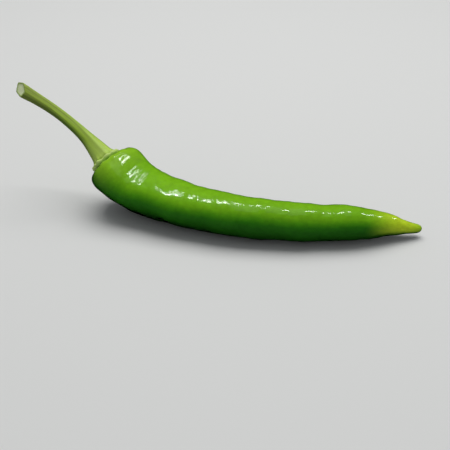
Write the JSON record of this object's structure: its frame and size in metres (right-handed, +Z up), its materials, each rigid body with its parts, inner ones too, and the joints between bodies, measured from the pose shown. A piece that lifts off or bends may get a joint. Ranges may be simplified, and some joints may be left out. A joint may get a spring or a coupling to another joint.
{
  "type": "chilli pepper",
  "caption": "Long curved green chilli pepper lying on its side, with a hooked shoulder, a flared calyx and a cut stem that rises from it.",
  "frame": {"origin": "middle of the underside of the object's box, on the surface that it lies on", "axes": "+X along the pod from the calyx to the tip, +Z up, -Y towards the side that the bend bulges to"},
  "size_m": [0.1884, 0.0366, 0.0572],
  "materials": {
    "pod_skin": "glossy waxy green skin, paler yellow green on the upper side",
    "stem_skin": "matte pale green, ridged lengthways"
  },
  "bodies": {
    "root": {"pod": "pod_skin", "stem_and_calyx": "stem_skin"}
  },
  "joints": []
}
